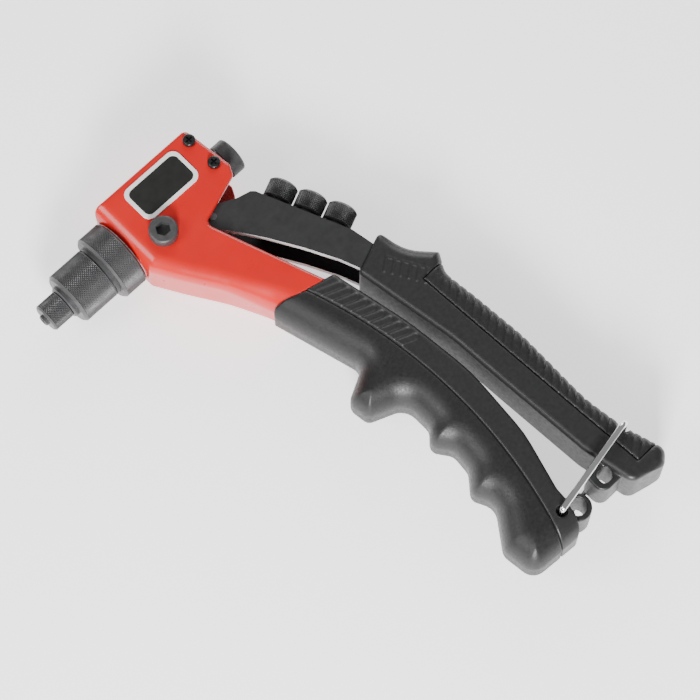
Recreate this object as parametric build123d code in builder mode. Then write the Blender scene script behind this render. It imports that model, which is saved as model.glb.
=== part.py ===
from build123d import *
from math import cos, radians, sin, tan
import os

# Hand riveter with a storage row of spare nosepieces, lying on its side, in millimetres.
# The nose axis is X and the nose points to -X. The handles point to -Y. Z is the tool's
# thickness, with the nameplate side up. The origin is the centre of the nosepiece's mouth.

os.makedirs("parts", exist_ok=True)

# Nose and lock ring, by distance behind the mouth
lip_end = 1.5
lip_radius = 2.6
mandrel_radius = 1.6
nosepiece_radius = 6.8
nosepiece_end = 12.0
collar_radius = 8.0
sleeve_front = 14.0
sleeve_radius = 12.7
ring_front = 34.3
ring_radius = 16.3
head_front = 47.0
spigot_radius = 10.0
spigot_end = 53.0

# Cast body
body_half = 15.0
wall = 3.0
slot_half = 12.0
head_top = 18.3
screw_places = ((99.9, 12.6), (100.6, -2.6))
plate_centre = (76.9, 5.8)
plate_size = (31.6, 18.4)

# Arm: a folded channel that turns on the pivot bolt
pivot = (62.5, -11.2)
opening_angle = 21.0
cheek_in = 8.5
cheek_out = 11.5
web = 2.5
bolt_radius = 4.0
bolt_head_radius = 6.5
bolt_head_height = 5.0
cross_pin = (83.9, -19.5)
cross_pin_radius = 1.8

# Pulling train on the nose axis
lean = opening_angle / 2
lever = -pivot[1]
pin_x = pivot[0] + lever * tan(radians(lean))
pin_radius = 2.5
case_front = 25.0
case_rear = 57.5
case_radius = 8.0
case_bore = 5.6
tube_radius = 6.6
tube_bore = 3.5
outlet_front = 107.0
outlet_rear = 113.6
outlet_radius = 8.3

# Grips
fixed_half = 16.0
moving_half = 13.5
tang_half = 8.0
eye_half = 10.0
fixed_boss = (104.3, -222.0)
fixed_eye = (104.6, -222.0)
grip_steps = ((5.0, 0.0), (2.6, 0.9), (1.0, 2.3), (0.0, 4.2))

# Spare nosepieces stand in a row along the straight back of the arm
back_start = (106.6, -26.6)
back_end = (123.2, -66.1)
spare_first = 5.2
spare_pitch = 14.2
spare_neck = 3.2
spare_head = 9.0

# Wire bail
bail_pivot = (97.0, -219.5)
bail_bar = (143.6, -211.0)
wire_radius = 1.5
bail_leg = fixed_half + wire_radius + 0.5

clearance = 0.05
gap = 0.3


def nose_plane(x):
    """Plane across the nose axis, drawn looking forward from behind."""
    return Plane(origin=(x, 0, 0), x_dir=(0, 1, 0), z_dir=(1, 0, 0))


def save(piece, label):
    piece.label = label
    export_step(piece, f"parts/{label}.step")


def ring_solid(x0, x1, outer, inner, edge=0.0):
    """Round piece on the nose axis from x0 to x1, with a bore and broken outer edges."""
    with BuildPart() as ring:
        with BuildSketch(nose_plane(x0)):
            Circle(outer)
            if inner > 0:
                Circle(inner, mode=Mode.SUBTRACT)
        extrude(amount=x1 - x0)
        if edge > 0:
            rims = ring.edges().filter_by(GeomType.CIRCLE)
            chamfer([e for e in rims if abs(e.radius - outer) < 0.01], edge)
    return ring.part


def nosepiece(plane, head_length, neck_length, thread_length, bore):
    """Knurled nosepiece that stands on plane: thread behind it, neck and head before it."""
    with BuildPart() as piece:
        with BuildSketch(plane.offset(-thread_length)):
            Circle(4.0)
        extrude(amount=thread_length)
        with BuildSketch(plane):
            Circle(5.0)
        extrude(amount=neck_length)
        with BuildSketch(plane.offset(neck_length)):
            Circle(nosepiece_radius)
        extrude(amount=head_length)
        rims = piece.edges().filter_by(GeomType.CIRCLE)
        chamfer([e for e in rims if abs(e.radius - nosepiece_radius) < 0.01], 0.8)
        with BuildSketch(plane.offset(-thread_length)):
            Circle(bore)
        extrude(amount=thread_length + neck_length + head_length, mode=Mode.SUBTRACT)
    return piece.part


def coil(x0, x1, radius, wire, turns):
    """Compression spring on the nose axis from x0 to x1."""
    path = Helix(pitch=(x1 - x0 - 2 * wire) / turns, height=x1 - x0 - 2 * wire, radius=radius,
                 center=(x0 + wire, 0, 0), direction=(1, 0, 0))
    with BuildPart() as spring:
        with BuildSketch(Plane(origin=path @ 0, z_dir=path % 0)):
            Circle(wire)
        sweep(path=path)
    return spring.part


# ---------------------------------------------------------------- nose
with BuildPart() as nose_housing:
    with BuildSketch(nose_plane(nosepiece_end)):
        Circle(collar_radius)
    extrude(amount=sleeve_front - nosepiece_end)
    with BuildSketch(nose_plane(sleeve_front)):
        Circle(sleeve_radius)
    extrude(amount=ring_front - sleeve_front)
    rims = nose_housing.edges().filter_by(GeomType.CIRCLE)
    chamfer([e for e in rims if abs(e.radius - sleeve_radius) < 0.01], 1.2)
    with BuildSketch(nose_plane(ring_front)):
        Circle(spigot_radius)
    extrude(amount=spigot_end - ring_front)
    with BuildSketch(nose_plane(nosepiece_end)):
        Circle(4.0 + clearance)
    extrude(amount=20.2 - nosepiece_end, mode=Mode.SUBTRACT)
    with BuildSketch(nose_plane(20.2)):
        Circle(case_radius + gap)
    extrude(amount=spigot_end - 20.2, mode=Mode.SUBTRACT)
save(nose_housing.part, "nose_housing")

with BuildPart() as nosepiece_fitted:
    with BuildSketch(nose_plane(0)):
        Circle(lip_radius)
    extrude(amount=lip_end)
    with BuildSketch(nose_plane(lip_end)):
        Circle(nosepiece_radius)
    extrude(amount=nosepiece_end - lip_end)
    rims = nosepiece_fitted.edges().filter_by(GeomType.CIRCLE)
    chamfer([e for e in rims if abs(e.radius - nosepiece_radius) < 0.01], 0.7)
    with BuildSketch(nose_plane(nosepiece_end)):
        Circle(4.0)
    extrude(amount=7.5)
    with BuildSketch(nose_plane(19.5)):
        Circle(2.6)
    extrude(amount=2.5, taper=7)
    with BuildSketch(nose_plane(0)):
        Circle(mandrel_radius)
    extrude(amount=22.0, mode=Mode.SUBTRACT)
save(nosepiece_fitted.part, "nosepiece_fitted")

save(ring_solid(ring_front, head_front - 0.4, ring_radius, spigot_radius + clearance, 1.0), "lock_ring")
save(ring_solid(head_front - 0.4, head_front, 15.2, spigot_radius + clearance), "ring_washer")

# ---------------------------------------------------------------- cast body
with BuildPart() as body_casting:
    with BuildSketch(Plane.XY.offset(-body_half)):
        with BuildLine():
            lower = Spline((47.0, -18.0), (54.5, -31.0), (65.4, -48.3), (73.0, -66.5), (80.0, -86.0))
            Polyline(lower @ 0, (head_front, head_top), (102.5, head_top), (105.5, -7.5),
                     (103.0, -12.2), (78.8, -20.3), (98.5, -76.0), (101.5, -86.0), lower @ 1)
        make_face()
    extrude(amount=2 * body_half)
    uprights = body_casting.edges().filter_by(Axis.Z)
    fillet([e for e in uprights if e.center().Y > 10], 3.0)
    fillet([e for e in uprights if -13 < e.center().Y < -5], 2.5)
    fillet([e for e in uprights if -25 < e.center().Y < -19], 3.0)
    faces_up = body_casting.faces().filter_by(Axis.Z)
    fillet([e for f in faces_up for e in f.edges() if e.center().Y > -84], 2.2)
    # Room for the arm between the two side walls, open to the rear and along the shank
    with BuildSketch(Plane.XY.offset(-slot_half)):
        with BuildLine():
            Polyline((spigot_end, head_top - wall), (120.0, head_top - wall), (120.0, -70.0),
                     (80.5, -70.0), (70.0, -49.0), (58.0, -30.0), (spigot_end, -20.0), close=True)
        make_face()
    extrude(amount=2 * slot_half, mode=Mode.SUBTRACT)
    # Tang that runs down inside the grip
    with BuildSketch(Plane.XY.offset(-tang_half)):
        with BuildLine():
            front_side = Spline((83.0, -84.0), (92.0, -110.0), (95.0, -145.0), (89.0, -205.0))
            back_side = Spline((99.0, -205.0), (105.0, -145.0), (102.0, -110.0), (97.0, -84.0))
            Line(front_side @ 1, back_side @ 0)
            Line(back_side @ 1, front_side @ 0)
        make_face()
    extrude(amount=2 * tang_half)
    with BuildSketch(nose_plane(head_front - 1)):
        Circle(spigot_radius + clearance)
    extrude(amount=spigot_end - head_front + 2, mode=Mode.SUBTRACT)
    with BuildSketch(Plane.XY.offset(-body_half)):
        with Locations(pivot):
            Circle(bolt_radius + clearance)
    extrude(amount=2 * body_half, mode=Mode.SUBTRACT)
    # Holes for the two screws that hold the rear guide
    with BuildSketch(Plane.XY.offset(slot_half - 1)):
        with Locations(*screw_places):
            Circle(1.55)
    extrude(amount=wall + 2, mode=Mode.SUBTRACT)

# ---------------------------------------------------------------- rear guide and its screws
with BuildPart() as rear_guide:
    with BuildSketch(nose_plane(95.0)):
        with Locations(((head_top - wall - 5.9) / 2, 0)):
            Rectangle(head_top - wall + 5.9, 2 * slot_half)
        Circle(tube_radius + clearance, mode=Mode.SUBTRACT)
        with Locations((-5.9, 0)):
            Rectangle(8.0, 2 * cheek_in, mode=Mode.SUBTRACT)
    extrude(amount=7.2)
    with BuildSketch(Plane.XY.offset(slot_half)):
        with Locations(*screw_places):
            Circle(1.25)
    extrude(amount=-3.0, mode=Mode.SUBTRACT)
save(rear_guide.part, "rear_guide")

with BuildPart() as guide_screws:
    with BuildSketch(Plane.XY.offset(slot_half - 2.6)):
        with Locations(*screw_places):
            Circle(1.2)
    extrude(amount=body_half - slot_half + 2.6)
    with BuildSketch(Plane.XY.offset(body_half)):
        with Locations(*screw_places):
            Circle(2.9)
    extrude(amount=2.0)
    top_rims = guide_screws.faces().group_by(Axis.Z)[-1].edges()
    fillet(top_rims, 0.9)
    with BuildSketch(Plane.XY.offset(body_half + 2.0)):
        with Locations(*screw_places):
            Rectangle(3.2, 0.8)
            Rectangle(0.8, 3.2)
    extrude(amount=-1.1, mode=Mode.SUBTRACT)
save(guide_screws.part, "guide_screws")

# ---------------------------------------------------------------- nameplate, left blank
with BuildPart() as nameplate:
    with BuildSketch(Plane.XY.offset(body_half)):
        with Locations(plate_centre):
            RectangleRounded(*plate_size, 4.0)
    extrude(amount=0.5)
save(nameplate.part, "nameplate")

# ---------------------------------------------------------------- pivot bolt, nut and washer
with BuildPart() as pivot_bolt:
    with BuildSketch(Plane.XY.offset(-body_half - 5.0)):
        with Locations(pivot):
            Circle(bolt_radius)
    extrude(amount=2 * body_half + 5.0)
    with BuildSketch(Plane.XY.offset(body_half)):
        with Locations(pivot):
            Circle(bolt_head_radius)
    extrude(amount=bolt_head_height)
    fillet(pivot_bolt.faces().sort_by(Axis.Z)[-1].edges(), 1.2)
    with BuildSketch(Plane.XY.offset(body_half + bolt_head_height)):
        with Locations(pivot):
            RegularPolygon(3.0, 6, major_radius=False)
    extrude(amount=-3.5, mode=Mode.SUBTRACT)
save(pivot_bolt.part, "pivot_bolt")

with BuildPart() as pivot_washer:
    with BuildSketch(Plane.XY.offset(-body_half - 1.0)):
        with Locations(pivot):
            Circle(7.6)
            Circle(bolt_radius + clearance, mode=Mode.SUBTRACT)
    extrude(amount=1.0)
save(pivot_washer.part, "pivot_washer")

with BuildPart() as pivot_nut:
    with BuildSketch(Plane.XY.offset(-body_half - 4.6)):
        with Locations(pivot):
            RegularPolygon(6.4, 6, major_radius=False)
            Circle(bolt_radius + clearance, mode=Mode.SUBTRACT)
    extrude(amount=3.6)
save(pivot_nut.part, "pivot_nut")

# ---------------------------------------------------------------- fixed grip
# Corners of the outline, each with its radius: front, finger rests, heel, then the spine
fixed_corners = (
    (71.5, -68.0, 2.0), (83.6, -112.6, 5.0), (68.2, -120.4, 4.5), (69.6, -131.0, 4.5),
    (85.9, -137.6, 8.0), (85.9, -152.0, 6.0), (79.6, -158.6, 4.0), (85.6, -167.0, 6.0),
    (84.6, -177.0, 6.0), (77.0, -186.0, 4.0), (82.0, -196.0, 8.0), (69.6, -213.0, 6.0),
    (71.6, -229.5, 7.0), (97.5, -231.0, 4.0), (102.2, -220.0, 5.0), (102.8, -211.0, 6.0),
    (110.6, -184.0, 60.0), (113.8, -149.0, 90.0), (110.5, -115.0, 120.0), (102.6, -76.0, 2.0))
with BuildSketch() as fixed_outline:
    with BuildLine():
        FilletPolyline(*[(x, y) for x, y, r in fixed_corners], radius=[r for x, y, r in fixed_corners],
                       close=True)
    make_face()
with BuildPart() as fixed_grip:
    for depth, inset in grip_steps:
        with BuildSketch(Plane.XY.offset(depth - fixed_half)):
            add(fixed_outline.sketch)
            if inset > 0:
                offset(amount=-inset)
        extrude(amount=2 * (fixed_half - depth))
    # Eye on the spine side of the heel
    with BuildSketch(Plane.XY.offset(-eye_half)):
        with Locations(fixed_boss):
            Circle(6.3)
        with Locations((99.5, -222.0)):
            Rectangle(9.0, 10.0)
    extrude(amount=2 * eye_half)
    with BuildSketch(Plane.XY.offset(-eye_half)):
        with Locations(fixed_eye):
            Circle(4.0)
    extrude(amount=2 * eye_half, mode=Mode.SUBTRACT)
    with BuildSketch(Plane.XY.offset(-fixed_half)):
        with Locations(bail_pivot):
            Circle(wire_radius + clearance)
    extrude(amount=2 * fixed_half, mode=Mode.SUBTRACT)
    add(body_casting.part, mode=Mode.SUBTRACT)
save(body_casting.part, "body_casting")

# The smooth spine panel and the soft finger side meet along a curve inside the grip
with BuildPart() as fixed_grip_spine:
    add(fixed_grip.part)
    with BuildSketch(Plane.XY.offset(-fixed_half)):
        with BuildLine():
            seam = ThreePointArc((86.0, -64.0), (101.6, -148.0), (91.0, -219.0))
            Polyline(seam @ 1, (91.0, -240.0), (125.0, -240.0), (125.0, -60.0), (86.0, -60.0), seam @ 0)
        make_face()
    extrude(amount=2 * fixed_half, mode=Mode.INTERSECT)
with BuildPart() as fixed_grip_rubber:
    add(fixed_grip.part)
    add(fixed_grip_spine.part, mode=Mode.SUBTRACT)
save(fixed_grip_spine.part, "fixed_grip_spine")
save(fixed_grip_rubber.part, "fixed_grip_rubber")

# ---------------------------------------------------------------- arm
claw_dir = (sin(radians(lean)), cos(radians(lean)))
with BuildPart() as arm_channel:
    with BuildSketch(Plane.XY.offset(-cheek_out)):
        with Locations(pivot):
            Circle(8.5)
        with BuildLine():
            Polyline((54.5, -8.0), (59.5, 4.2), (72.0, 2.0), (74.0, -8.5), (97.3, -20.4), (103.8, -22.1),
                     (105.5, -23.8), back_start, back_end, (124.8, -75.0), (130.0, -110.0),
                     (132.5, -150.0), (134.5, -205.0), (127.5, -205.0), (124.5, -150.0),
                     (119.0, -110.0), (113.0, -80.9), (109.7, -72.3), (102.5, -57.9), (93.6, -42.6),
                     (87.3, -33.2), (81.8, -25.6), (66.0, -19.0), (54.5, -13.0), close=True)
        make_face()
    extrude(amount=2 * cheek_out)
    # Channel between the cheeks: open along the inner side and all of the front
    with BuildSketch(Plane.XY.offset(-cheek_in)):
        with BuildLine():
            Polyline((40.0, 12.0), (104.5, 12.0), (108.6, -27.0), (104.6, -28.4), (120.8, -66.0),
                     (122.3, -75.0), (127.5, -110.0), (130.0, -150.0), (131.5, -202.0), (118.0, -202.0),
                     (110.0, -110.0), (60.0, -60.0), (40.0, -20.0), close=True)
        make_face()
    extrude(amount=2 * cheek_in, mode=Mode.SUBTRACT)
    # Open slots that carry the pull pins
    slot_plane = Plane(origin=(pivot[0], pivot[1], -cheek_out), x_dir=(claw_dir[0], claw_dir[1], 0),
                       z_dir=(0, 0, 1))
    with BuildSketch(slot_plane):
        with Locations((lever / cos(radians(lean)) + 4.6, 0)):
            Rectangle(15.0, 2 * pin_radius + 0.6)
        with Locations((0, 0)):
            Circle(5.5)
    extrude(amount=2 * cheek_out, mode=Mode.SUBTRACT)
    # Threaded seats of the spare nosepieces and the cross pin's holes
    length = ((back_end[0] - back_start[0]) ** 2 + (back_end[1] - back_start[1]) ** 2) ** 0.5
    along = ((back_end[0] - back_start[0]) / length, (back_end[1] - back_start[1]) / length)
    across = (-along[1], along[0])
    seats = []
    for index in range(3):
        distance = spare_first + index * spare_pitch
        seat = (back_start[0] + along[0] * distance, back_start[1] + along[1] * distance, 0)
        seats.append(Plane(origin=seat, x_dir=(0, 0, 1), z_dir=(across[0], across[1], 0)))
    for seat in seats:
        with BuildSketch(seat.offset(1.0)):
            Circle(4.0 + clearance)
        extrude(amount=-web - 2.0, mode=Mode.SUBTRACT)
    with BuildSketch(Plane.XY.offset(-cheek_out)):
        with Locations(cross_pin):
            Circle(cross_pin_radius)
    extrude(amount=2 * cheek_out, mode=Mode.SUBTRACT)
save(arm_channel.part, "arm_channel")

with BuildPart() as pivot_bushes:
    for level in (-slot_half + 0.1, cheek_in):
        with BuildSketch(Plane.XY.offset(level)):
            with Locations(pivot):
                Circle(5.5)
                Circle(bolt_radius + clearance, mode=Mode.SUBTRACT)
        extrude(amount=slot_half - 0.1 - cheek_in)
save(pivot_bushes.part, "pivot_bushes")

with BuildPart() as arm_cross_pin:
    with BuildSketch(Plane.XY.offset(-cheek_out - 0.2)):
        with Locations(cross_pin):
            Circle(cross_pin_radius)
    extrude(amount=2 * cheek_out + 0.4)
save(arm_cross_pin.part, "arm_cross_pin")

strip_centre = seats[1].offset(-web - 0.2)
with BuildPart() as spare_holder_strip:
    with BuildSketch(strip_centre):
        Rectangle(2 * cheek_in - 0.2, 2 * spare_pitch + 11.0)
    extrude(amount=-2.3)
    for seat in seats:
        with BuildSketch(seat):
            Circle(4.0 + clearance)
        extrude(amount=-8.0, mode=Mode.SUBTRACT)
save(spare_holder_strip.part, "spare_holder_strip")

spare_names = ("nosepiece_spare_large", "nosepiece_spare_medium", "nosepiece_spare_small")
spare_bores = (2.5, 2.1, 1.3)
for seat, spare_name, spare_bore in zip(seats, spare_names, spare_bores):
    save(nosepiece(seat, spare_head, spare_neck, 6.0, spare_bore), spare_name)

# ---------------------------------------------------------------- moving grip
moving_corners = (
    (130.4, -75.2, 2.0), (133.2, -88.0, 20.0), (143.8, -99.4, 1.2), (138.8, -108.0, 8.0),
    (140.6, -125.0, 40.0), (142.6, -152.0, 90.0), (141.4, -191.0, 60.0), (144.2, -211.0, 40.0),
    (149.8, -230.0, 5.0), (144.0, -235.0, 4.0), (128.0, -231.0, 5.0), (123.4, -206.0, 20.0),
    (120.4, -160.0, 120.0), (118.8, -132.0, 90.0), (111.0, -82.4, 2.0))
with BuildSketch() as moving_outline:
    with BuildLine():
        FilletPolyline(*[(x, y) for x, y, r in moving_corners], radius=[r for x, y, r in moving_corners],
                       close=True)
    make_face()
with BuildPart() as moving_grip:
    for depth, inset in grip_steps:
        with BuildSketch(Plane.XY.offset(depth - moving_half)):
            add(moving_outline.sketch)
            if inset > 0:
                offset(amount=-inset)
        extrude(amount=2 * (moving_half - depth))
    with BuildSketch(Plane.XY.offset(-10.5)):
        with Locations((122.5, -219.8)):
            RectangleRounded(13.0, 12.0, 4.5)
        with Locations((127.0, -218.0)):
            Rectangle(6.0, 14.0)
    extrude(amount=21.0)
    with BuildSketch(Plane.XY.offset(-10.5)):
        with Locations((122.6, -220.2)):
            RectangleRounded(6.6, 6.6, 2.4)
    extrude(amount=21.0, mode=Mode.SUBTRACT)
    # Notch across the back that the bail's bar rests in
    with BuildSketch(Plane.XY.offset(-moving_half)):
        with Locations(bail_bar):
            Circle(wire_radius + 1.3)
    extrude(amount=2 * moving_half, mode=Mode.SUBTRACT)
    # The arm's tail fills the grip's core
    with BuildSketch(Plane.XY.offset(-cheek_out)):
        with BuildLine():
            Polyline(back_end, (124.8, -75.0), (130.0, -110.0), (132.5, -150.0), (134.5, -205.0),
                     (127.5, -205.0), (124.5, -150.0), (119.0, -110.0), (113.0, -80.9), (109.7, -72.3),
                     close=True)
        make_face()
    extrude(amount=2 * cheek_out, mode=Mode.SUBTRACT)

# A ribbed pad is set into the back of the moving grip
with BuildPart() as moving_grip_pad:
    add(moving_grip.part)
    with BuildSketch(Plane.XY.offset(-moving_half)):
        with BuildLine():
            inner = ThreePointArc((129.0, -104.0), (132.0, -156.0), (136.5, -226.0))
            Polyline(inner @ 1, (160.0, -226.0), (160.0, -104.0), inner @ 0)
        make_face()
    extrude(amount=2 * moving_half, mode=Mode.INTERSECT)
with BuildPart() as moving_grip_shell:
    add(moving_grip.part)
    add(moving_grip_pad.part, mode=Mode.SUBTRACT)
save(moving_grip_shell.part, "moving_grip_shell")
save(moving_grip_pad.part, "moving_grip_pad")

# ---------------------------------------------------------------- pulling train
with BuildPart() as jaw_case:
    with BuildSketch(nose_plane(case_front)):
        Circle(case_radius)
    extrude(amount=case_rear - case_front)
    with BuildSketch(nose_plane(case_front)):
        Circle(3.0)
    with BuildSketch(nose_plane(case_front + 9.0)):
        Circle(case_bore)
    loft(mode=Mode.SUBTRACT)
    with BuildSketch(nose_plane(case_front + 9.0)):
        Circle(case_bore)
    extrude(amount=case_rear - case_front - 9.0, mode=Mode.SUBTRACT)
save(jaw_case.part, "jaw_case")

with BuildPart() as pull_tube:
    with BuildSketch(nose_plane(50.0)):
        Circle(case_bore - clearance)
    extrude(amount=case_rear - 50.0)
    with BuildSketch(nose_plane(case_rear)):
        Circle(tube_radius)
    extrude(amount=outlet_rear - 1.5 - case_rear)
    with BuildSketch(nose_plane(50.0)):
        Circle(tube_bore)
    extrude(amount=outlet_rear - 50.0, mode=Mode.SUBTRACT)
    with BuildSketch(Plane.XY.offset(-tube_radius)):
        with Locations((pin_x, 0)):
            Circle(pin_radius)
    extrude(amount=2 * tube_radius, mode=Mode.SUBTRACT)
save(pull_tube.part, "pull_tube")

with BuildPart() as pull_pins:
    for level in (-cheek_out, tube_bore + 1.0):
        with BuildSketch(Plane.XY.offset(level)):
            with Locations((pin_x, 0)):
                Circle(pin_radius)
        extrude(amount=cheek_out - tube_bore - 1.0)
save(pull_pins.part, "pull_pins")

save(ring_solid(70.2, 71.8, 8.2, tube_radius + clearance), "spring_collar")
save(ring_solid(69.2, 70.2, 7.8, tube_radius), "retaining_ring")
save(coil(72.0, 94.8, 7.5, 0.55, 6), "return_spring")

with BuildPart() as mandrel_outlet:
    with BuildSketch(nose_plane(outlet_front)):
        Circle(outlet_radius)
    extrude(amount=outlet_rear - outlet_front)
    fillet(mandrel_outlet.faces().sort_by(Axis.X)[-1].edges(), 1.0)
    with BuildSketch(nose_plane(outlet_front)):
        Circle(tube_radius)
    extrude(amount=outlet_rear - 1.5 - outlet_front, mode=Mode.SUBTRACT)
    with BuildSketch(nose_plane(outlet_front)):
        Circle(tube_bore)
    extrude(amount=outlet_rear - outlet_front, mode=Mode.SUBTRACT)
save(mandrel_outlet.part, "mandrel_outlet")

# ---------------------------------------------------------------- jaws
for side, jaw_name in ((1, "jaw_upper"), (-1, "jaw_lower")):
    with BuildPart() as jaw:
        with BuildSketch(nose_plane(case_front + 1.0)):
            Circle(3.0)
        with BuildSketch(nose_plane(case_front + 9.0)):
            Circle(case_bore - 0.3)
        loft()
        with BuildSketch(nose_plane(case_front + 9.0)):
            Circle(case_bore - 0.3)
        extrude(amount=3.0)
        with BuildSketch(nose_plane(case_front)):
            Circle(1.4)
        extrude(amount=13.0, mode=Mode.SUBTRACT)
        with Locations((case_front + 6.0, side * 5.1, 0)):
            Box(20.0, 10.0, 20.0, mode=Mode.INTERSECT)
    save(jaw.part, jaw_name)

save(ring_solid(37.0, 42.0, case_bore - 0.2, 2.4), "jaw_pusher")
save(coil(42.2, 49.8, 4.6, 0.45, 4), "jaw_spring")

# ---------------------------------------------------------------- bail
with BuildPart() as bail:
    with BuildLine() as bail_path:
        FilletPolyline((*bail_pivot, 11.0), (*bail_pivot, bail_leg), (*bail_bar, bail_leg),
                       (*bail_bar, -bail_leg), (*bail_pivot, -bail_leg), (*bail_pivot, -11.0),
                       radius=(1.6, 3.5, 3.5, 1.6))
    with BuildSketch(Plane(origin=bail_path.line @ 0, z_dir=bail_path.line % 0)):
        Circle(wire_radius)
    sweep()
save(bail.part, "bail")
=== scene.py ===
import math

import bpy
import numpy as np
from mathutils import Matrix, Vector


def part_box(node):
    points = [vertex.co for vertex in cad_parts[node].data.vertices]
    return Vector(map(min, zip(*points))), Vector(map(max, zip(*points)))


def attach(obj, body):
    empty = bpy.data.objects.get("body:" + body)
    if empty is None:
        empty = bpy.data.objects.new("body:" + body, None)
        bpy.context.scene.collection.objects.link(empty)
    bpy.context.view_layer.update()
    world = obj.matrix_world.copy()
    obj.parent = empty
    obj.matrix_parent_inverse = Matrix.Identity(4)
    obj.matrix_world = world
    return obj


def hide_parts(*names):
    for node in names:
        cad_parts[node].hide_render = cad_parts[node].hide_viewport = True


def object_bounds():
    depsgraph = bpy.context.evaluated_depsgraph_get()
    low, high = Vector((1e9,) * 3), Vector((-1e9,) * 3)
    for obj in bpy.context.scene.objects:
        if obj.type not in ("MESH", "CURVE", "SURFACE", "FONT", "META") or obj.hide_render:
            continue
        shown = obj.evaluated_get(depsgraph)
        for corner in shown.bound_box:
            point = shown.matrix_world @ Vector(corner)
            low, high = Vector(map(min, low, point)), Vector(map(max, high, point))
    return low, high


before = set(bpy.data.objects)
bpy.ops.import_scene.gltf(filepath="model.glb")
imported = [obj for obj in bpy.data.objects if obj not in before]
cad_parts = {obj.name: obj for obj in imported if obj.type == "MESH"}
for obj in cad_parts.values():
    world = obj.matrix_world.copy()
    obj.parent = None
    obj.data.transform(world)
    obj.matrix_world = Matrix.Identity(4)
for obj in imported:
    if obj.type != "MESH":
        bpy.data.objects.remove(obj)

# Hand riveter, lying on its side. Shapes are worked out in millimetres, in the frame of the
# CAD parts, and turned into metres when their mesh is made.
cad_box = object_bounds()
MM = 0.001

# ---------------------------------------------------------------- driving sizes
cell = 0.6
body_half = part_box("body_casting")[1][2] / MM
fixed_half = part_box("fixed_grip_rubber")[1][2] / MM
moving_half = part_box("moving_grip_shell")[1][2] / MM
ring_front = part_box("lock_ring")[0][0] / MM
ring_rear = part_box("lock_ring")[1][0] / MM
ring_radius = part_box("lock_ring")[1][2] / MM
sleeve_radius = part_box("nose_housing")[1][2] / MM
collar_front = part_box("nose_housing")[0][0] / MM
tip_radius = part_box("nosepiece_fitted")[1][2] / MM
slot_half = 12.0
arm_half = 11.5
tang_half = 8.0
knurl_pitch = 1.15
knurl_depth = 0.4

# Outlines seen from the nameplate side: each corner with the radius that rounds it
body_corners = (
    (47.0, 18.3, 3.0), (102.5, 18.3, 3.0), (105.5, -7.5, 3.0), (103.0, -12.2, 2.5),
    (78.8, -20.3, 3.5), (98.5, -76.0, 3.0), (101.5, -86.0, 0.5), (80.0, -86.0, 0.5),
    (73.0, -66.5, 40.0), (65.4, -48.3, 60.0), (54.5, -31.0, 18.0), (47.0, -18.0, 3.0))
body_soft_side = (
    (47.0, 60.0, 0.5), (160.0, 60.0, 0.5), (160.0, -120.0, 0.5), (92.0, -120.0, 0.5),
    (73.0, -66.5, 40.0), (65.4, -48.3, 60.0), (54.5, -31.0, 18.0), (47.0, -18.0, 3.0))
body_slot = (
    (53.0, 15.3, 0.5), (120.0, 15.3, 0.5), (120.0, -70.0, 0.5), (80.5, -70.0, 2.0),
    (70.0, -49.0, 20.0), (58.0, -30.0, 8.0), (53.0, -20.0, 2.0))
tang_corners = (
    (83.0, -84.0, 0.5), (92.0, -110.0, 30.0), (95.0, -145.0, 60.0), (89.0, -205.0, 1.0),
    (99.0, -205.0, 1.0), (105.0, -145.0, 60.0), (102.0, -110.0, 30.0), (97.0, -84.0, 0.5))
fixed_corners = (
    (71.5, -68.0, 2.0), (83.6, -112.6, 5.0), (68.2, -120.4, 4.5), (69.6, -131.0, 4.5),
    (85.9, -137.6, 8.0), (85.9, -152.0, 6.0), (79.6, -158.6, 4.0), (85.6, -167.0, 6.0),
    (84.6, -177.0, 6.0), (77.0, -186.0, 4.0), (82.0, -196.0, 8.0), (69.6, -213.0, 6.0),
    (71.6, -229.5, 7.0), (97.5, -231.0, 4.0), (102.2, -220.0, 5.0), (102.8, -211.0, 6.0),
    (110.6, -184.0, 60.0), (113.8, -149.0, 90.0), (110.5, -115.0, 120.0), (102.6, -76.0, 2.0))
# The finger side alone, carried on past the mouth and the spine, which stay square
fixed_soft_side = ((60.4, -27.0, 0.5),) + fixed_corners[1:13] + (
    (104.0, -232.0, 8.0), (170.0, -150.0, 0.5), (170.0, -27.0, 0.5))
moving_corners = (
    (130.4, -75.2, 2.0), (133.2, -88.0, 20.0), (143.8, -99.4, 1.2), (138.8, -108.0, 8.0),
    (140.6, -125.0, 40.0), (142.6, -152.0, 90.0), (141.4, -191.0, 60.0), (144.2, -211.0, 40.0),
    (149.8, -230.0, 5.0), (144.0, -235.0, 4.0), (128.0, -231.0, 5.0), (123.4, -206.0, 20.0),
    (120.4, -160.0, 120.0), (118.8, -132.0, 90.0), (111.0, -82.4, 2.0))
moving_soft_side = (
    (80.0, -40.0, 0.5), (130.4, -40.0, 0.5)) + moving_corners[1:10] + ((80.0, -235.0, 0.5),)
arm_tail = (
    (123.2, -66.1, 0.3), (124.8, -75.0, 0.3), (130.0, -110.0, 0.3), (132.5, -150.0, 0.3),
    (134.5, -205.0, 0.3), (127.5, -205.0, 0.3), (124.5, -150.0, 0.3), (119.0, -110.0, 0.3),
    (113.0, -80.9, 0.3), (109.7, -72.3, 0.3))

# Where the two materials of each grip meet: three points of an arc
fixed_seam = ((85.0, -64.0), (101.3, -148.0), (91.0, -219.0))
moving_seam = ((129.0, -104.0), (132.0, -156.0), (136.5, -226.0))
seam_gap = 0.12
seam_round = 0.9
underlap = 1.2

# Where the shank enters the fixed grip: a corner of the mouth and the way out of it
mouth_corner = (71.5, -68.0)
mouth_way = (0.249, 0.969)

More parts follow.
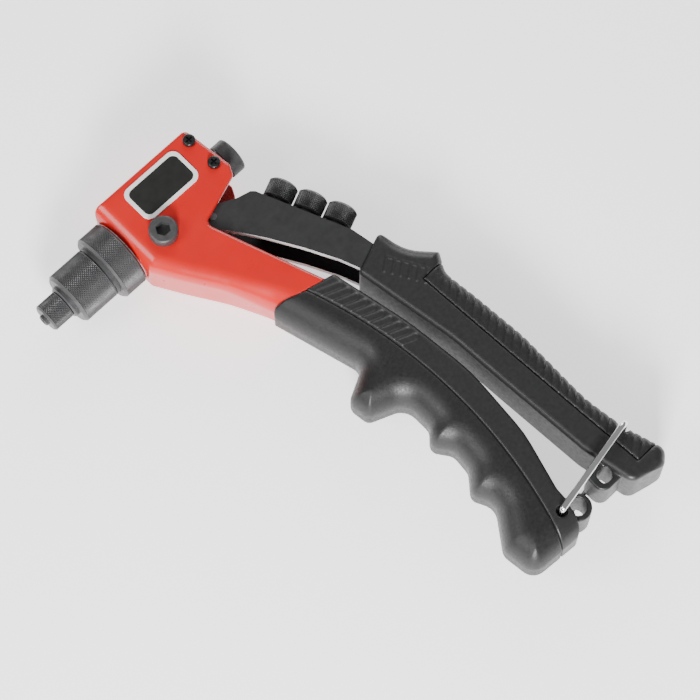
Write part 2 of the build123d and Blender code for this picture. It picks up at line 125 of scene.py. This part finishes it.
# Ribs on the fixed grip's panel, by the mouth: the first one, and the step to the next
rib_count = 10
rib_start = (90.6, -78.0)
rib_end = (100.3, -81.9)
rib_step = (0.78, -4.4)
rib_width = 3.2

# Grooves under the thumb on the moving grip, between two lines
thumb_count = 6
thumb_tops = ((124.7, -86.1), (133.7, -102.1))
thumb_bottoms = ((119.3, -90.0), (128.3, -106.1))
thumb_width = 1.3
thumb_frame_width = 1.0

# Ribs across the moving grip's back
pad_middle = -165.0
pad_reach = 61.0
pad_rib_pitch = 4.7
pad_rib_lean = 0.75
pad_rib_depth = 0.7

# Eyes near the ends of the grips
eye_half = 10.0
fixed_boss = (104.3, -222.0)
fixed_boss_radius = 6.3
fixed_eye = (104.6, -222.0)
fixed_eye_radius = 4.0
moving_loop_half = 10.5
moving_loop = (
    (116.0, -213.8, 4.5), (129.0, -213.8, 0.5), (129.0, -225.8, 0.5), (116.0, -225.8, 4.5))
moving_window = (
    (119.3, -216.9, 2.4), (125.9, -216.9, 2.4), (125.9, -223.5, 2.4), (119.3, -223.5, 2.4))

bail_pivot = (97.0, -219.5)
bail_bar = (143.6, -211.0)
wire_radius = 1.5

# Row of spare nosepieces on the arm's back
back_start = (106.6, -26.6)
back_end = (123.2, -66.1)
spare_first = 5.2
spare_pitch = 14.2
spare_neck = 3.2
spare_head = 9.0
spare_bores = (2.5, 2.1, 1.3)


# ---------------------------------------------------------------- shapes as distances
def rounded_outline(corners):
    """Closed line through corners, given as (x, y, radius) rows, with each one rounded."""
    points = []
    for index, (x, y, radius) in enumerate(corners):
        here = np.array((x, y))
        before = np.array(corners[index - 1][:2]) - here
        after = np.array(corners[(index + 1) % len(corners)][:2]) - here
        before = before / np.linalg.norm(before)
        after = after / np.linalg.norm(after)
        half_angle = math.acos(float(np.clip(before @ after, -1, 1))) / 2
        reach = radius / math.tan(half_angle)
        middle = (before + after) / np.linalg.norm(before + after)
        centre = here + middle * radius / math.sin(half_angle)
        start = here + before * reach - centre
        end = here + after * reach - centre
        turn = math.pi - 2 * half_angle
        steps = max(2, int(math.ceil(turn / 0.16)))
        for share in np.linspace(0, 1, steps + 1):
            spoke = start * (1 - share) + end * share
            points.append(centre + spoke * radius / np.linalg.norm(spoke))
    return np.array(points)


def side_of(corners):
    """Distance to a rounded outline in the XY plane, negative inside it."""
    points = rounded_outline(corners)
    ends = np.roll(points, -1, axis=0)

    def distance(x, y):
        shape = np.broadcast(x, y).shape
        nearest = np.full(shape, np.inf)
        inside = np.zeros(shape, bool)
        for (x0, y0), (x1, y1) in zip(points, ends):
            along_x = x1 - x0
            along_y = y1 - y0
            length = max(along_x ** 2 + along_y ** 2, 1e-12)
            to_x = x - x0
            to_y = y - y0
            share = np.clip((to_x * along_x + to_y * along_y) / length, 0, 1)
            nearest = np.minimum(nearest, (to_x - share * along_x) ** 2 + (to_y - share * along_y) ** 2)
            if abs(along_y) > 1e-9:
                inside ^= ((y0 <= y) != (y1 <= y)) & (to_x < to_y * along_x / along_y)
        return np.where(inside, -1.0, 1.0) * np.sqrt(nearest)
    return distance


def plate(side, z, half, radius):
    """Distance to a slab of that half thickness, with its rims rounded."""
    out = side + radius
    up = np.abs(z) - half + radius
    corner = np.hypot(np.maximum(out, 0), np.maximum(up, 0))
    return np.minimum(np.maximum(out, up), 0) + corner - radius


def meet(first, second, radius):
    """Where two shapes overlap, with the edge between them rounded."""
    one = first + radius
    two = second + radius
    corner = np.hypot(np.maximum(one, 0), np.maximum(two, 0))
    return np.minimum(np.maximum(one, two), 0) + corner - radius


def beside_arc(x, y, arc):
    """Distance from the arc through three points, positive on the side that faces +X."""
    (ax, ay), (bx, by), (cx, cy) = arc
    turn = 2 * (ax * (by - cy) + bx * (cy - ay) + cx * (ay - by))
    a2 = ax * ax + ay * ay
    b2 = bx * bx + by * by
    c2 = cx * cx + cy * cy
    mid_x = (a2 * (by - cy) + b2 * (cy - ay) + c2 * (ay - by)) / turn
    mid_y = (a2 * (cx - bx) + b2 * (ax - cx) + c2 * (bx - ax)) / turn
    radius = math.hypot(ax - mid_x, ay - mid_y)
    return math.copysign(1, ax - mid_x) * (np.hypot(x - mid_x, y - mid_y) - radius)


def smooth_step(value, low, high):
    share = np.clip((value - low) / (high - low), 0, 1)
    return share * share * (3 - 2 * share)


def strip(x, y, start, end, width):
    """Distance in the XY plane to a straight strip with round ends."""
    along = np.array(end) - np.array(start)
    share = ((x - start[0]) * along[0] + (y - start[1]) * along[1]) / (along @ along)
    share = np.clip(share, 0, 1)
    return np.hypot(x - start[0] - share * along[0], y - start[1] - share * along[1]) - width / 2


# ---------------------------------------------------------------- meshes
def add_mesh(name, points, faces, smooth=True):
    mesh = bpy.data.meshes.new(name)
    mesh.from_pydata((np.asarray(points) * MM).tolist(), [], [list(map(int, f)) for f in faces])
    mesh.polygons.foreach_set("use_smooth", [smooth] * len(mesh.polygons))
    mesh.update()
    made = bpy.data.objects.new(name, mesh)
    bpy.context.scene.collection.objects.link(made)
    return made


def skin(name, distance, low, high, step=cell):
    """Closed mesh of the space where distance(x, y, z) is negative, by surface nets."""
    axes = [np.arange(a - 2 * step, b + 3 * step, step) for a, b in zip(low, high)]
    x = axes[0][:, None, None]
    y = axes[1][None, :, None]
    z = axes[2][None, None, :]
    field = np.broadcast_to(distance(x, y, z), tuple(len(a) for a in axes))
    inside = field < 0
    cells = tuple(n - 1 for n in field.shape)
    total = np.zeros(cells + (3,))
    count = np.zeros(cells)

    def corner(array, offset):
        return array[tuple(slice(o, o + n) for o, n in zip(offset, cells))]

    for axis in range(3):
        for first in (0, 1):
            for second in (0, 1):
                near = [0, 0, 0]
                near[(axis + 1) % 3] = first
                near[(axis + 2) % 3] = second
                far = list(near)
                far[axis] = 1
                a = corner(field, near)
                b = corner(field, far)
                crossing = corner(inside, near) != corner(inside, far)
                share = np.where(crossing, a / np.where(crossing, a - b, 1), 0)
                place = np.zeros(cells + (3,))
                place[...] = near
                place[..., axis] = share
                total += place * crossing[..., None]
                count += crossing
    used = count > 0
    number = np.full(cells, -1)
    number[used] = np.arange(used.sum())
    origin = np.array([a[0] for a in axes])
    points = (np.argwhere(used) + total[used] / count[used][:, None]) * step + origin

    faces = []
    for axis in range(3):
        ahead = [slice(None)] * 3
        behind = [slice(None)] * 3
        ahead[axis] = slice(1, None)
        behind[axis] = slice(None, -1)
        leaving = inside[tuple(behind)] & ~inside[tuple(ahead)]
        entering = ~inside[tuple(behind)] & inside[tuple(ahead)]
        for crossing, flip in ((leaving, False), (entering, True)):
            spots = np.argwhere(crossing)
            across = np.eye(3, dtype=int)[(axis + 1) % 3]
            up = np.eye(3, dtype=int)[(axis + 2) % 3]
            ring = [number[tuple((spots - shift).T)] for shift in (across + up, up, 0 * up, across)]
            quads = np.stack(ring, axis=1)
            faces.append(quads[:, ::-1] if flip else quads)
    faces = np.concatenate(faces)

    # Settle the points on the surface itself, so that it shades smoothly
    reach = 0.05
    for _ in range(2):
        here = distance(*points.T)
        ahead = [distance(*(points + reach * way).T) for way in np.eye(3)]
        slope = np.stack([(value - here) / reach for value in ahead], axis=1)
        steepness = np.maximum((slope ** 2).sum(axis=1), 0.25)
        move = -here[:, None] * slope / steepness[:, None]
        points = points + np.clip(move, -step / 3, step / 3)
    return add_mesh(name, points, faces)


def turned(name, stations, origin=(0.0, 0.0, 0.0), axis=(1.0, 0.0, 0.0)):
    """Solid of revolution along axis. A station is (distance, radius, knurled as far as the next)."""
    origin = np.array(origin)
    axis = np.array(axis) / np.linalg.norm(axis)
    up = np.array((0.0, 0.0, 1.0))
    across = np.cross(up, axis)
    largest = max(radius for _, radius, _ in stations)
    teeth = int(round(2 * math.pi * largest / knurl_pitch))
    per_tooth = 4
    around = teeth * per_tooth
    rows = []
    for (a, ra, knurled), (b, rb, _) in zip(stations, stations[1:]):
        steps = max(1, int(round(abs(b - a) / knurl_pitch)) * per_tooth) if knurled else 1
        for step in range(steps):
            share = step / steps
            rows.append((a + (b - a) * share, ra + (rb - ra) * share, step if knurled else None))
    rows.append((stations[-1][0], stations[-1][1], None))
    points = []
    turn = np.arange(around)
    for distance, radius, step in rows:
        depth = np.zeros(around)
        if step is not None and step > 0:
            one = np.abs(((turn + step) / per_tooth) % 1 - 0.5) * 2
            two = np.abs(((turn - step) / per_tooth) % 1 - 0.5) * 2
            depth = knurl_depth * np.maximum(one, two)
        angle = turn * 2 * math.pi / around
        reach = (radius - depth)[:, None]
        ring = reach * (np.cos(angle)[:, None] * up + np.sin(angle)[:, None] * across)
        points.append(origin + axis * distance + ring)
    points = np.concatenate(points)
    faces = []
    for row in range(len(rows) - 1):
        for spot in range(around):
            after = (spot + 1) % around
            near = row * around
            far = near + around
            faces.append((near + spot, near + after, far + after, far + spot))
    made = add_mesh(name, points, faces, smooth=False)
    made.data.validate()
    return made


# ---------------------------------------------------------------- materials
def new_material(name, colour, roughness, metallic=0.0, coat=0.0, coat_roughness=0.1):
    """Material with its shader's constants set, and its colour and roughness left to vary."""
    made = bpy.data.materials.new(name)
    made.use_nodes = True
    shader = made.node_tree.nodes["Principled BSDF"]
    shader.inputs["Base Color"].default_value = (*colour, 1)
    shader.inputs["Roughness"].default_value = roughness
    shader.inputs["Metallic"].default_value = metallic
    shader.inputs["Coat Weight"].default_value = coat
    shader.inputs["Coat Roughness"].default_value = coat_roughness
    return made


def noise_of(made, scale, detail=3.0):
    """Noise in the object's own coordinates, scale waves a metre."""
    tree = made.node_tree
    place = tree.nodes.new("ShaderNodeTexCoord")
    noise = tree.nodes.new("ShaderNodeTexNoise")
    noise.inputs["Scale"].default_value = scale
    noise.inputs["Detail"].default_value = detail
    tree.links.new(place.outputs["Object"], noise.inputs["Vector"])
    return noise.outputs["Fac"]


def blotch(made, scale, dark, light):
    """Mottles the colour between dark and light."""
    tree = made.node_tree
    ramp = tree.nodes.new("ShaderNodeValToRGB")
    ramp.color_ramp.elements[0].position = 0.3
    ramp.color_ramp.elements[1].position = 0.7
    ramp.color_ramp.elements[0].color = (*dark, 1)
    ramp.color_ramp.elements[1].color = (*light, 1)
    tree.links.new(noise_of(made, scale), ramp.inputs["Fac"])
    tree.links.new(ramp.outputs["Color"], tree.nodes["Principled BSDF"].inputs["Base Color"])


def vary_roughness(made, scale, low, high):
    tree = made.node_tree
    spread = tree.nodes.new("ShaderNodeMapRange")
    spread.inputs["From Min"].default_value = 0.3
    spread.inputs["From Max"].default_value = 0.7
    spread.inputs["To Min"].default_value = low
    spread.inputs["To Max"].default_value = high
    tree.links.new(noise_of(made, scale), spread.inputs["Value"])
    tree.links.new(spread.outputs["Result"], tree.nodes["Principled BSDF"].inputs["Roughness"])


def grain(made, scale, strength, depth):
    """Fine relief in the surface, depth in metres."""
    tree = made.node_tree
    bump = tree.nodes.new("ShaderNodeBump")
    bump.inputs["Strength"].default_value = strength
    bump.inputs["Distance"].default_value = depth
    tree.links.new(noise_of(made, scale, 2.0), bump.inputs["Height"])
    tree.links.new(bump.outputs["Normal"], tree.nodes["Principled BSDF"].inputs["Normal"])


def make_materials():
    made = {}
    red = new_material("red_paint", (0.6, 0.006, 0.003), 0.34, coat=0.4, coat_roughness=0.14)
    blotch(red, 60, (0.58, 0.005, 0.003), (0.63, 0.007, 0.004))
    vary_roughness(red, 90, 0.26, 0.36)
    grain(red, 700, 0.12, 0.0001)
    made["red"] = red

    steel = new_material("blackened_steel", (0.05, 0.05, 0.053), 0.42, metallic=0.35)
    blotch(steel, 500, (0.062, 0.062, 0.064), (0.078, 0.078, 0.08))
    vary_roughness(steel, 350, 0.34, 0.5)
    made["steel"] = steel

    enamel = new_material("black_enamel", (0.03, 0.03, 0.031), 0.42)
    blotch(enamel, 500, (0.018, 0.018, 0.019), (0.022, 0.022, 0.023))
    vary_roughness(enamel, 200, 0.36, 0.48)
    grain(enamel, 1400, 0.15, 0.0001)
    made["enamel"] = enamel

    rubber = new_material("grip_rubber", (0.02, 0.02, 0.0205), 0.46)
    blotch(rubber, 900, (0.008, 0.008, 0.0082), (0.012, 0.012, 0.0122))
    vary_roughness(rubber, 800, 0.38, 0.54)
    grain(rubber, 1500, 0.35, 0.0002)
    made["rubber"] = rubber

    plastic = new_material("grip_plastic", (0.028, 0.028, 0.029), 0.4)
    blotch(plastic, 700, (0.014, 0.014, 0.0145), (0.018, 0.018, 0.0185))
    vary_roughness(plastic, 600, 0.34, 0.46)
    grain(plastic, 1800, 0.2, 0.0001)
    made["plastic"] = plastic

    bare = new_material("bare_steel", (0.55, 0.55, 0.56), 0.3, metallic=1.0)
    blotch(bare, 300, (0.46, 0.46, 0.47), (0.62, 0.62, 0.63))
    vary_roughness(bare, 400, 0.22, 0.38)
    made["bare"] = bare

    spring = new_material("spring_steel", (0.3, 0.3, 0.31), 0.35, metallic=1.0)
    blotch(spring, 400, (0.24, 0.24, 0.25), (0.36, 0.36, 0.37))
    made["spring"] = spring

    bronze = new_material("bearing_bronze", (0.5, 0.33, 0.16), 0.5, metallic=1.0)
    blotch(bronze, 900, (0.42, 0.27, 0.13), (0.56, 0.38, 0.2))
    made["bronze"] = bronze

    chrome = new_material("bright_wire", (0.86, 0.86, 0.87), 0.08, metallic=1.0)
    vary_roughness(chrome, 250, 0.05, 0.12)
    made["chrome"] = chrome

    screw = new_material("black_screw", (0.02, 0.02, 0.021), 0.3, metallic=0.5)
    blotch(screw, 800, (0.012, 0.012, 0.013), (0.035, 0.035, 0.036))
    made["screw"] = screw

    rim = new_material("plate_rim", (0.85, 0.85, 0.84), 0.4)
    blotch(rim, 200, (0.8, 0.8, 0.79), (0.88, 0.88, 0.87))
    made["rim"] = rim

    face = new_material("plate_face", (0.012, 0.012, 0.011), 0.35)
    blotch(face, 300, (0.01, 0.01, 0.009), (0.015, 0.015, 0.014))
    made["face"] = face
    return made


def enamel_with_painted_highlight(enamel):
    """Enamel with a painted highlight: the faces square to the handles' gap, turned towards the key light
    and the camera, are painted light grey.
    """
    made = enamel.copy()
    made.name = "arm_enamel_painted_highlight"
    tree = made.node_tree
    shader = tree.nodes["Principled BSDF"]
    place = tree.nodes.new("ShaderNodeTexCoord")
    facing = tree.nodes.new("ShaderNodeVectorMath")
    facing.operation = "DOT_PRODUCT"
    facing.inputs[1].default_value = (-0.82, -0.57, 0.0)
    tree.links.new(place.outputs["Normal"], facing.inputs[0])
    painted_highlight_share = tree.nodes.new("ShaderNodeMapRange")
    painted_highlight_share.inputs["From Min"].default_value = 0.86
    painted_highlight_share.inputs["From Max"].default_value = 0.92
    tree.links.new(facing.outputs["Value"], painted_highlight_share.inputs["Value"])
    blend = tree.nodes.new("ShaderNodeMix")
    blend.data_type = "RGBA"
    # Light grey painted on the faces turned to the key light and camera: a painted highlight along the
    # arm's lower edge.
    blend.inputs["B"].default_value = (0.62, 0.62, 0.62, 1)
    colour = shader.inputs["Base Color"].links[0].from_socket
    tree.links.new(painted_highlight_share.outputs["Result"], blend.inputs["Factor"])
    tree.links.new(colour, blend.inputs["A"])
    tree.links.new(blend.outputs["Result"], shader.inputs["Base Color"])
    return made


def paint(made, *materials):
    made.data.materials.clear()
    for one in materials:
        made.data.materials.append(one)


def dress(node, one):
    """New material on a CAD part."""
    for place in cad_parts[node].material_slots:
        place.link = "OBJECT"
        place.material = one


def finish_piece(made, body, slot, *nodes):
    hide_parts(*nodes)
    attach(made, body)


# ---------------------------------------------------------------- body and grips
body_side = side_of(body_corners)
body_soft = side_of(body_soft_side)
slot_side = side_of(body_slot)
tang_side = side_of(tang_corners)
fixed_side = side_of(fixed_corners)
fixed_soft = side_of(fixed_soft_side)
moving_side = side_of(moving_corners)
moving_soft = side_of(moving_soft_side)
tail_side = side_of(arm_tail)
loop_side = side_of(moving_loop)
window_side = side_of(moving_window)


def body_shape(x, y, z):
    shape = plate(body_side(x, y), z, body_half, 1.6)
    to_mouth = mouth_way[0] * (x - mouth_corner[0]) + mouth_way[1] * (y - mouth_corner[1])
    near_mouth = 1 - smooth_step(to_mouth, 0.0, 22.0)
    shape = np.maximum(shape, plate(body_soft(x, y), z, body_half, 7.5 + 3.5 * near_mouth))
    inside_grip = plate(body_soft(x, y) + 2.0, z, body_half - 2.0, 7.5)
    shape = np.where(to_mouth < -0.8, np.maximum(shape, inside_grip), shape)
    shape = np.maximum(shape, -plate(slot_side(x, y), z, slot_half, 0.5))
    bore = np.maximum(np.hypot(y, z) - 10.05, np.abs(x - 50.0) - 6.0)
    shape = np.maximum(shape, -bore)
    return np.minimum(shape, plate(tang_side(x, y), z, tang_half, 0.5))


def rib_places():
    """Start and end of each raised rib by the fixed grip's mouth."""
    for index in range(rib_count):
        shift_x = rib_step[0] * index
        shift_y = rib_step[1] * index
        yield (rib_start[0] + shift_x, rib_start[1] + shift_y), (rib_end[0] + shift_x, rib_end[1] + shift_y)


def thumb_places():
    """Top and bottom of each groove under the thumb."""
    tops = np.linspace(*thumb_tops, thumb_count)
    bottoms = np.linspace(*thumb_bottoms, thumb_count)
    return list(zip(tops, bottoms))


def fixed_shape(x, y, z):
    """The whole fixed grip, with its panel, ribs, eye and holes."""
    seam = beside_arc(x, y, fixed_seam)
    fade = smooth_step(y, -219.0, -212.0)
    panel = smooth_step(seam, -0.6, 0.6) * fade
    rib = np.full(np.broadcast(x, y).shape, 1.0)
    for start, end in rib_places():
        rib = np.minimum(rib, strip(x, y, start, end, rib_width))
    raised = (1 - smooth_step(rib, -0.5, 0.3)) * smooth_step(seam, 0.3, 1.4)
    half = fixed_half - 0.55 + 0.15 * panel + 0.4 * raised
    half = np.minimum(half, fixed_half)
    shape = plate(fixed_side(x, y), z, half, 2.2)
    shape = np.maximum(shape, plate(fixed_soft(x, y), z, half, 12.5))
    boss = np.hypot(x - fixed_boss[0], y - fixed_boss[1]) - fixed_boss_radius
    shape = np.minimum(shape, plate(boss, z, eye_half, 0.8))
    shape = np.maximum(shape, fixed_eye_radius - np.hypot(x - fixed_eye[0], y - fixed_eye[1]))
    from_pivot = np.hypot(x - bail_pivot[0], y - bail_pivot[1])
    dimple = np.maximum(from_pivot - 2.6, fixed_half - 2.6 - np.abs(z))
    shape = np.maximum(shape, -np.minimum(from_pivot - wire_radius - 0.1, dimple))
    return np.maximum(shape, 0.05 - plate(tang_side(x, y), z, tang_half, 0.5))


def spine_shape(x, y, z):
    return meet(fixed_shape(x, y, z), seam_gap - beside_arc(x, y, fixed_seam), seam_round)


def rubber_shape(x, y, z):
    """The finger side, with a hidden edge that runs on under the panel."""
    seam = beside_arc(x, y, fixed_seam)
    overlap = np.maximum(fixed_shape(x, y, z) + 0.8, seam - underlap)
    return np.minimum(meet(fixed_shape(x, y, z), seam, seam_round), overlap)


def moving_shape(x, y, z):
    """The whole moving grip, with its thumb ribs, eye and notch."""
    seam = beside_arc(x, y, moving_seam)
    side = moving_side(x, y)
    thumb = np.full(np.broadcast(x, y).shape, 1.0)
    for top, bottom in thumb_places():
        thumb = np.minimum(thumb, strip(x, y, top, bottom, thumb_width))
    thumb = np.minimum(thumb, strip(x, y, *thumb_tops, thumb_frame_width))
    carved = 1 - smooth_step(thumb, -0.6, 0.3)
    half = moving_half - 0.45 * carved
    # Ribs across the back: crowns with narrow valleys between them, leaning towards the heel
    ribbed = smooth_step(y, -226.0, -224.0) * (1 - smooth_step(y, -112.0, -110.0))
    on_pad = smooth_step(seam, 0.0, 0.3) * ribbed
    phase = (y - pad_rib_lean * (x - moving_seam[1][0])) / pad_rib_pitch % 1
    valley = np.abs(2 * phase - 1) ** 5 * on_pad
    half = half - 0.5 * valley
    shape = plate(side + pad_rib_depth * valley, z, half, 2.4)
    shape = np.maximum(shape, plate(moving_soft(x, y) + pad_rib_depth * valley, z, half, 5.5))
    shape = np.minimum(shape, plate(loop_side(x, y), z, moving_loop_half, 0.8))
    shape = np.maximum(shape, -window_side(x, y))
    shape = np.maximum(shape, wire_radius + 1.3 - np.hypot(x - bail_bar[0], y - bail_bar[1]))
    return np.maximum(shape, 0.05 - plate(tail_side(x, y), z, arm_half, 0.5))


def on_moving_pad(x, y):
    """Negative where the ribbed pad is: behind the seam, and between its two ends."""
    return np.maximum(-beside_arc(x, y, moving_seam), np.abs(y - pad_middle) - pad_reach)


def pad_shape(x, y, z):
    return meet(moving_shape(x, y, z), on_moving_pad(x, y) + seam_gap, seam_round)


def shell_shape(x, y, z):
    return meet(moving_shape(x, y, z), -on_moving_pad(x, y), seam_round)


def skin_of(name, shape, *nodes):
    """Skin over the space that these CAD parts take."""
    low = np.min([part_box(node)[0] for node in nodes], axis=0) / MM
    high = np.max([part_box(node)[1] for node in nodes], axis=0) / MM
    return skin(name, shape, low, high)


# ---------------------------------------------------------------- turned pieces
def knurled_spare(name, index):
    """Spare nosepiece on the arm's back, in place of its CAD node."""
    along = np.array(back_end) - np.array(back_start)
    along = along / np.linalg.norm(along)
    seat = np.array(back_start) + along * (spare_first + index * spare_pitch)
    bore = spare_bores[index]
    top = spare_neck + spare_head
    stations = (
        (-6.0, bore, False), (-6.0, 4.0, False), (0.0, 4.0, False), (0.0, 5.0, False),
        (spare_neck, 5.0, False), (spare_neck, tip_radius - 0.7, False),
        (spare_neck + 0.7, tip_radius, True), (top - 0.9, tip_radius, False),
        (top, tip_radius - 0.9, False), (top, bore, False), (-6.0, bore, False))
    return turned(name, stations, origin=(seat[0], seat[1], 0.0), axis=(-along[1], along[0], 0.0))


def lock_ring():
    return turned("lock_ring_knurled", (
        (ring_front, 10.1, False), (ring_front, ring_radius - 1.1, False),
        (ring_front + 1.1, ring_radius, True), (ring_rear - 0.9, ring_radius, False),
        (ring_rear, ring_radius - 0.9, False), (ring_rear, 10.1, False), (ring_front, 10.1, False)))


def nose_sleeve():
    """Knurled sleeve with its collar, a groove before the lock ring and the spigot behind."""
    case_radius = 8.3
    return turned("nose_housing_knurled", (
        (collar_front, 4.05, False), (collar_front, 7.4, False), (collar_front + 0.6, 8.0, False),
        (14.0, 8.0, False), (14.0, sleeve_radius - 1.3, False),
        (15.3, sleeve_radius, True), (ring_front - 2.4, sleeve_radius, False),
        (ring_front - 2.4, sleeve_radius - 0.9, False), (ring_front - 1.6, sleeve_radius - 0.9, False),
        (ring_front - 1.6, sleeve_radius - 0.1, False), (ring_front, sleeve_radius - 0.1, False),
        (ring_front, 10.0, False), (53.0, 10.0, False), (53.0, case_radius, False),
        (20.2, case_radius, False), (20.2, 4.05, False), (collar_front, 4.05, False)))


def fitted_nosepiece():
    lip_radius = 2.6
    bore = 1.6
    return turned("nosepiece_fitted_knurled", (
        (0.0, bore, False), (0.0, lip_radius - 0.3, False), (0.3, lip_radius, False),
        (1.5, lip_radius, False), (1.5, tip_radius - 0.8, False), (2.3, tip_radius, True),
        (11.5, tip_radius, False), (12.0, tip_radius - 0.5, False), (12.0, 4.0, False),
        (19.5, 4.0, False), (19.5, 2.6, False), (22.0, 2.3, False), (22.0, bore, False),
        (0.0, bore, False)))


def nameplate():
    """Blank plate: a raised pale rim round a sunk black field."""
    low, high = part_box("nameplate")
    x0, y0, z0 = (v / MM for v in low)
    x1, y1, z1 = (v / MM for v in high)

    def loop(inset, z):
        corner = 4.0 - 0.6 * inset
        outline = rounded_outline((
            (x0 + inset, y0 + inset, corner), (x1 - inset, y0 + inset, corner),
            (x1 - inset, y1 - inset, corner), (x0 + inset, y1 - inset, corner)))
        return np.column_stack([outline, np.full(len(outline), z)])

    loops = [loop(0.0, z0), loop(0.0, z1 - 0.12), loop(0.12, z1), loop(1.75, z1), loop(1.85, z1 - 0.12)]
    size = len(loops[0])
    faces = [tuple(reversed(range(size)))]
    for row in range(len(loops) - 1):
        for spot in range(size):
            after = (spot + 1) % size
            faces.append((row * size + spot, row * size + after,
                          (row + 1) * size + after, (row + 1) * size + spot))
    faces.append(tuple(range((len(loops) - 1) * size, len(loops) * size)))
    made = add_mesh("nameplate_blank", np.concatenate(loops), faces, smooth=False)
    paint(made, finishes["rim"], finishes["face"])
    made.data.polygons[len(faces) - 1].material_index = 1
    return made


# ---------------------------------------------------------------- camera, light and floor
def aim(thing, target):
    way = target - thing.location
    thing.rotation_euler = way.to_track_quat("-Z", "Y").to_euler()


def add_camera():
    target = Vector((0.0866, -0.1024, 0.0))
    elevation = math.radians(71.0)
    azimuth = math.radians(225.83)
    heading = Vector((math.cos(azimuth), math.sin(azimuth), 0.0))
    distance = 1.264
    lens = bpy.data.cameras.new("camera")
    lens.lens = 150.0
    lens.sensor_width = 36.0
    made = bpy.data.objects.new("camera", lens)
    rise = Vector((0.0, 0.0, math.sin(elevation)))
    made.location = target + distance * (heading * math.cos(elevation) + rise)
    bpy.context.scene.collection.objects.link(made)
    aim(made, target)
    bpy.context.scene.camera = made


def add_light(name, place, size, power):
    lamp = bpy.data.lights.new(name, "AREA")
    lamp.size = size
    lamp.energy = power
    made = bpy.data.objects.new(name, lamp)
    made.location = place
    bpy.context.scene.collection.objects.link(made)
    aim(made, Vector((0.09, -0.1, 0.0)))


def add_studio():
    add_light("key", (-0.62, -0.8, 0.58), 0.3, 26.0)
    add_light("front", (-0.8, 0.35, 0.9), 0.6, 8.0)
    add_light("back", (0.8, 0.5, 0.5), 0.6, 5.0)
    world = bpy.data.worlds.new("studio")
    world.use_nodes = True
    sky = world.node_tree.nodes["Background"]
    sky.inputs["Color"].default_value = (1, 1, 1, 1)
    sky.inputs["Strength"].default_value = 0.3
    bpy.context.scene.world = world
    half = 1500.0
    level = cad_box[0][2] / MM - 0.3
    floor = add_mesh("floor", [(-half, -half, level), (half, -half, level), (half, half, level),
                               (-half, half, level)], [(0, 1, 2, 3)])
    pale = new_material("pale_floor", (0.93, 0.93, 0.93), 0.7)
    blotch(pale, 3, (0.92, 0.92, 0.92), (0.94, 0.94, 0.94))
    shader = pale.node_tree.nodes["Principled BSDF"]
    shader.inputs["Emission Color"].default_value = (1, 1, 1, 1)
    shader.inputs["Emission Strength"].default_value = 1.1
    paint(floor, pale)


# ---------------------------------------------------------------- the riveter
finishes = make_materials()
add_camera()
add_studio()

for node, finish in (
        ("ring_washer", "bare"), ("rear_guide", "enamel"), ("guide_screws", "screw"),
        ("pivot_bolt", "steel"), ("pivot_nut", "steel"), ("pivot_washer", "bare"),
        ("return_spring", "spring"), ("pivot_bushes", "bronze"), ("arm_cross_pin", "steel"),
        ("spare_holder_strip", "enamel"), ("jaw_case", "bare"), ("pull_tube", "bare"),
        ("pull_pins", "bare"), ("spring_collar", "steel"), ("retaining_ring", "spring"),
        ("mandrel_outlet", "steel"), ("jaw_spring", "spring"), ("jaw_upper", "bare"),
        ("jaw_lower", "bare"), ("jaw_pusher", "bare"), ("bail", "chrome")):
    dress(node, finishes[finish])
# The arm's enamel carries a painted highlight along its lower edge.
dress("arm_channel", enamel_with_painted_highlight(finishes["enamel"]))

casting = skin_of("body_shell", body_shape, "body_casting")
paint(casting, finishes["red"])
finish_piece(casting, "frame", "red_paint", "body_casting")

rubber = skin_of("fixed_grip_soft", rubber_shape, "fixed_grip_rubber", "fixed_grip_spine")
paint(rubber, finishes["rubber"])
finish_piece(rubber, "frame", "grip_rubber", "fixed_grip_rubber")

spine = skin_of("fixed_grip_panel", spine_shape, "fixed_grip_spine", "fixed_grip_rubber")
paint(spine, finishes["plastic"])
finish_piece(spine, "frame", "grip_plastic", "fixed_grip_spine")

shell = skin_of("moving_grip_cover", shell_shape, "moving_grip_shell")
paint(shell, finishes["plastic"])
finish_piece(shell, "arm", "grip_plastic", "moving_grip_shell")

pad = skin_of("moving_grip_ribs", pad_shape, "moving_grip_pad", "moving_grip_shell")
paint(pad, finishes["rubber"])
finish_piece(pad, "arm", "grip_rubber", "moving_grip_pad")

for made, node in ((lock_ring(), "lock_ring"), (nose_sleeve(), "nose_housing"),
                   (fitted_nosepiece(), "nosepiece_fitted")):
    paint(made, finishes["steel"])
    finish_piece(made, "frame", "blackened_steel", node)

for index, size in enumerate(("large", "medium", "small")):
    spare = knurled_spare(f"spare_{size}_knurled", index)
    paint(spare, finishes["steel"])
    finish_piece(spare, "arm", "blackened_steel", f"nosepiece_spare_{size}")

finish_piece(nameplate(), "frame", "nameplate_black", "nameplate")
